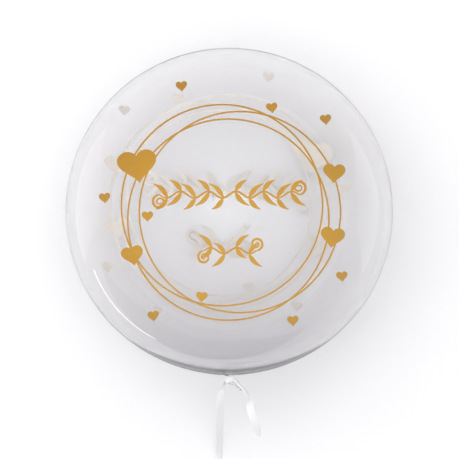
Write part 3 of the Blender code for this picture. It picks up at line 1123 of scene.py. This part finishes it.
def make_stage(film, stage):
    """The floor, the pale surroundings, the soft lights and the camera that looks down on the balloon."""
    make_floor(stage)
    make_dark_card(stage)
    make_rim_shadow_card(stage)
    make_room(stage)
    size = (stage.key_side, stage.key_side)
    make_light("key", stage.key_place, size, stage.key_radiance, (0.0, 0.0, 0.0), False)
    for name, (x, y), size, turn, radiance in FLOOR_LIGHTS:
        turned = (math.pi, 0.0, math.radians(turn))
        make_light(name, (x, y, stage.light_height), size, radiance, turned, True)
    make_camera(film, stage)
    scene = bpy.context.scene
    scene.view_settings.view_transform = "Standard"
    scene.view_settings.look = "None"
    scene.cycles.blur_glossy = 0.0


def length_property(name, description, default, low=0.0, high=30.0):
    """A length in metres."""
    return FloatProperty(
        name=name, description=description, default=default, min=low, max=high, unit="LENGTH", precision=5
    )


def angle_property(name, description, degrees):
    """An angle, given in degrees."""
    return FloatProperty(
        name=name, description=description, default=math.radians(degrees), subtype="ANGLE"
    )


def number_property(name, description, default, low=0.0, high=1000.0):
    """A plain number."""
    return FloatProperty(name=name, description=description, default=default, min=low, max=high)


def share_property(name, description, default):
    """A share from 0 to 1."""
    return FloatProperty(
        name=name, description=description, default=default, min=0.0, max=1.0, subtype="FACTOR"
    )


def colour_property(name, description, default):
    """A linear colour."""
    return FloatVectorProperty(
        name=name, description=description, default=default, min=0.0, max=1.0, size=3, subtype="COLOR"
    )


class BalloonFilm(bpy.types.PropertyGroup):
    """Sizes and colours of the film bubble."""

    radius: length_property("Radius", "Radius of the blown bubble", ENVELOPE_HIGH.y)
    rest_spot_radius: length_property("Rest spot radius", "Radius of the flat spot it lies on", 0.030)
    rest_softness: length_property("Rest softness", "How softly that spot runs into the bubble", 0.0006)
    inset: length_property("Inset", "How far the skin lies inside the solid's sphere", 0.0001)
    lift: length_property("Lift", "Height of the flat spot's skin above the floor", 0.00015)
    wall: length_property("Wall", "Thickness of the film on the bubble", 0.00005)
    side_wall: length_property("Lower wall", "Thickness of the less stretched film by the neck", 0.00105)
    side_wall_reach: angle_property("Lower wall reach", "Angle from the neck over which it thins out", 48)
    neck_wall: length_property("Neck wall", "Added where the film gathers to the neck's sides", 0.0040)
    neck_wall_reach: angle_property("Neck wall reach", "Angle over which that runs out", 25.5)
    neck_wall_height: share_property("Neck wall height", "Share of the radius it thins over", 0.145)
    gather_radius: length_property("Gather radius", "Radius at which the film turns to the neck", 0.0125)
    gather_drop: length_property("Gather drop", "How far the gather stands out of the sphere", 0.0016)
    neck_radius: length_property("Neck radius", "Radius of the tied neck", 0.0036)
    tied_length: length_property("Tied length", "Length of neck under the ribbon", 0.0066)
    tail_length: length_property("Open end length", "Length of the neck's loose end", 0.0205)
    tail_lean: angle_property("Open end lean", "How far the loose end leans over", 48)
    mouth_radius: length_property("Mouth radius", "Radius of the loose end's mouth", 0.0060)
    mouth_wall: length_property("Mouth wall", "Thickness of the film at the mouth", 0.00018)
    mouth_flat: share_property("Mouth flatness", "How far the loose end is pressed flat", 0.76)
    fold_height: length_property("Fold height", "Height of the folds at the neck", 0.00045)
    fold_reach: length_property("Fold reach", "How far the folds run out on the bubble", 0.004)
    neck_fold: share_property("Neck folds", "Share of that height left under the ribbon", 0.6)
    steps: IntProperty(name="Steps", description="Points round the bubble", default=216, min=24, max=512)
    tint: colour_property("Tint", "Colour of light that crosses the skin", (0.997, 0.996, 0.998))
    body_colour: colour_property("Body colour", "Colour the film's thickness leaves", (0.30, 0.27, 0.33))
    body_density: number_property("Body density", "How fast it darkens", 200.0)
    roughness: share_property("Roughness", "Blur of its gloss", 0.02)
    refraction: number_property("Refraction", "Index of refraction", 1.39, 1, 2)


class BalloonPrint(bpy.types.PropertyGroup):
    """Sizes and colours of the print."""

    ring_radius: length_property("Ring radius", "Radius of each printed circle", 0.1384)
    ring_line: length_property("Ring line", "Width of the circles' lines", 0.0023)
    thickness: length_property("Ink thickness", "Thickness of the ink", 0.00004)
    gap: length_property("Gap", "Gap between the film and the ink", 0.00002)
    layer_step: length_property("Layer step", "How much higher each crossing layer lies", 0.000004)
    gold: colour_property("Gold", "Colour of the ink at the upper left", (0.302, 0.148, 0.005))
    # Painted light: the gold made lighter towards the lower right.
    gold_painted_lighter: colour_property("Lower gold", "Colour of the ink at the lower right", (0.420, 0.234, 0.032))
    underbase: colour_property("Underside", "Colour of the ink from inside", (0.570, 0.540, 0.485))
    # Painted light: the underside's lighter colour further from the axis, which makes up for the shade
    # there.
    underbase_painted_lighter: colour_property("Outer underside", "That colour further out", (0.980, 0.910, 0.800))


class BalloonRibbon(bpy.types.PropertyGroup):
    """Sizes and colours of the ribbon."""

    width: length_property("Width", "Width of the ribbon", 0.011)
    thickness: length_property("Thickness", "Thickness of the ribbon", 0.00025)
    woven_edge: share_property("Woven edge", "How much thicker its edges are", 0.5)
    gap: length_property("Gap", "Gap kept above the floor", 0.0003)
    knot_drop: length_property("Knot drop", "How far the knot's middle lies past the gather", 0.0038)
    exit_rise: length_property("Exit rise", "Height above the middle at which it leaves the knot", 0.0050)
    gather_length: length_property("Gather length", "Length over which it opens out", 0.024)
    gathered_share: share_property("Gathered share", "Share of its width at the knot", 0.32)
    fold_depth: length_property("Fold depth", "Depth of the gathered folds", 0.0022)
    coil_radius: length_property("Coil radius", "Radius of the coil's first turn", 0.06595)
    coil_spacing: length_property("Coil spacing", "Distance between turns", 0.0045)
    coil_turns: number_property("Coil turns", "Number of turns", 2.75, 1, 12)
    tie_turn: angle_property("Tie place", "Where the tie holds the coil", 0)
    tie_grip: share_property("Tie grip", "Share of the spacing left in the tie", 0.2)
    tie_width: length_property("Tie width", "Width of the paper tie", 0.0048)
    tie_paper: length_property("Tie paper", "Thickness of the tie's paper", 0.00022)
    colour: colour_property("Colour", "Colour of the ribbon", (0.735, 0.735, 0.740))
    # Painted shade: the share of the colour left where a strand leaves the knot.
    knot_painted_shade: share_property("Start tone", "Share of that colour where a strand leaves the knot", 0.80)


class BalloonStage(bpy.types.PropertyGroup):
    """Camera, floor and lights."""

    camera_distance: length_property("Camera distance", "From the balloon's middle", 8.0)
    frame_width: length_property("Frame width", "Width of the picture at the balloon's middle", 0.6316)
    camera_x: length_property("Camera X", "Place over the balloon", 0.0004, -30)
    camera_y: length_property("Camera Y", "Place over the balloon", -0.0249, -30)
    floor_gap: length_property("Floor gap", "How far the floor lies under the object", 0.0003)
    floor_half: length_property("Floor half", "Half of the floor's side", 20.0)
    floor_colour: colour_property("Floor colour", "Colour of the floor", (0.636, 0.636, 0.638))
    card_x: length_property("Card X", "Middle of the dark card", -0.32, -30)
    card_y: length_property("Card Y", "Middle of the dark card", -1.02, -30)
    card_turn: angle_property("Card turn", "Turn of the dark card", -16)
    card_length: length_property("Card length", "Longer side of the dark card", 1.5)
    card_width: length_property("Card width", "Shorter side of the dark card", 1.0)
    card_height: length_property("Card height", "Height of the dark card", 0.01)
    card_colour: colour_property("Card colour", "Colour of the dark card", (0.03, 0.03, 0.04))
    rim_inner: length_property("Rim card inner", "Inner radius of the ring at the balloon's foot", 0.200)
    rim_outer: length_property("Rim card outer", "Outer radius of that ring", 0.290)
    rim_side: length_property("Rim card side", "Outer radius of that ring at the sides", 0.256)
    rim_height: length_property("Rim card height", "Height of that ring", 0.004)
    # Painted shadow: the colour of the dark ring that the film mirrors round its edge.
    rim_shadow_colour: colour_property("Rim card colour", "Colour of that ring", (0.33, 0.33, 0.345))
    room_low: colour_property("Room low", "Colour of the room near the floor", (0.600, 0.592, 0.617))
    room_high: colour_property("Room high", "Colour of the room overhead", (0.985, 0.977, 1.0))
    room_strength: number_property("Room strength", "Light of the surroundings", 1.02)
    room_gloss: number_property("Room gloss", "What gloss shows of it beyond that", 2.0)
    soft_power: number_property("Soft power", "Light of the soft light overhead", 2.35)
    soft_gloss: number_property("Soft gloss", "What gloss shows of that light", 0.6)
    light_height: length_property("Light height", "Height of the lights on the floor", 0.02)
    key_radiance: number_property("Key radiance", "Radiance of the soft key light", 3.2)
    key_side: length_property("Key side", "Side of the square key light", 2.2)
    key_place: FloatVectorProperty(
        name="Key place", description="Middle of the key light", default=(-0.36, 0.32, 3.2),
        subtype="XYZ", unit="LENGTH",
    )


class BALLOON_OT_make_stage(bpy.types.Operator):
    """Makes the floor, the lights and the camera"""

    bl_idname = "balloon.make_stage"
    bl_label = "Make stage"

    def execute(self, context):
        make_stage(context.scene.balloon_film, context.scene.balloon_stage)
        return {"FINISHED"}


class BALLOON_OT_make_strands(bpy.types.Operator):
    """Makes the ribbon's long strand with its coil and tie, and its short end"""

    bl_idname = "balloon.make_strands"
    bl_label = "Make ribbon strands"

    def execute(self, context):
        make_long_strand(context.scene.balloon_film, context.scene.balloon_ribbon)
        make_short_tail(context.scene.balloon_film, context.scene.balloon_ribbon)
        return {"FINISHED"}


class BALLOON_OT_make_knot(bpy.types.Operator):
    """Makes the ribbon's knot round the neck"""

    bl_idname = "balloon.make_knot"
    bl_label = "Make knot"

    def execute(self, context):
        make_knot(context.scene.balloon_film, context.scene.balloon_ribbon)
        return {"FINISHED"}


class BALLOON_OT_make_film(bpy.types.Operator):
    """Makes the clear bubble with its neck"""

    bl_idname = "balloon.make_film"
    bl_label = "Make film"

    def execute(self, context):
        make_film(context.scene.balloon_film)
        return {"FINISHED"}


class BALLOON_OT_make_print(bpy.types.Operator):
    """Makes the gold print on the balloon's front and back"""

    bl_idname = "balloon.make_print"
    bl_label = "Make print"

    def execute(self, context):
        scene = context.scene
        for name, side in (("front_print", 1), ("back_print", -1)):
            make_print(scene.balloon_film, scene.balloon_print, scene.balloon_stage, name, side)
        return {"FINISHED"}


class BALLOON_PT_looks(bpy.types.Panel):
    """Lists the balloon's sizes, colours and makers"""

    bl_idname = "BALLOON_PT_looks"
    bl_label = "Clear bubble balloon"
    bl_space_type = "VIEW_3D"
    bl_region_type = "UI"
    bl_category = "Balloon"

    def draw(self, context):
        for operator, group in MAKERS:
            box = self.layout.box()
            box.operator(operator.bl_idname)
            settings = getattr(context.scene, group)
            for name in settings.bl_rna.properties.keys():
                if name not in {"rna_type", "name"}:
                    box.prop(settings, name)


GROUPS = (
    ("balloon_film", BalloonFilm),
    ("balloon_print", BalloonPrint),
    ("balloon_ribbon", BalloonRibbon),
    ("balloon_stage", BalloonStage),
)
MAKERS = (
    (BALLOON_OT_make_stage, "balloon_stage"),
    (BALLOON_OT_make_strands, "balloon_ribbon"),
    (BALLOON_OT_make_knot, "balloon_ribbon"),
    (BALLOON_OT_make_film, "balloon_film"),
    (BALLOON_OT_make_print, "balloon_print"),
)
CLASSES = tuple(group for _, group in GROUPS) + tuple(maker for maker, _ in MAKERS) + (BALLOON_PT_looks,)


def register():
    """Registers the classes and hangs the settings on the scene."""
    for made in CLASSES:
        bpy.utils.register_class(made)
    for name, group in GROUPS:
        setattr(bpy.types.Scene, name, PointerProperty(type=group))


def unregister():
    """Takes the settings and the classes away again."""
    for name, _ in GROUPS:
        delattr(bpy.types.Scene, name)
    for made in reversed(CLASSES):
        bpy.utils.unregister_class(made)


def main():
    register()
    bpy.ops.balloon.make_stage()
    bpy.ops.balloon.make_strands()
    bpy.ops.balloon.make_knot()
    bpy.ops.balloon.make_film()
    bpy.ops.balloon.make_print()


if __name__ == "__main__":
    main()
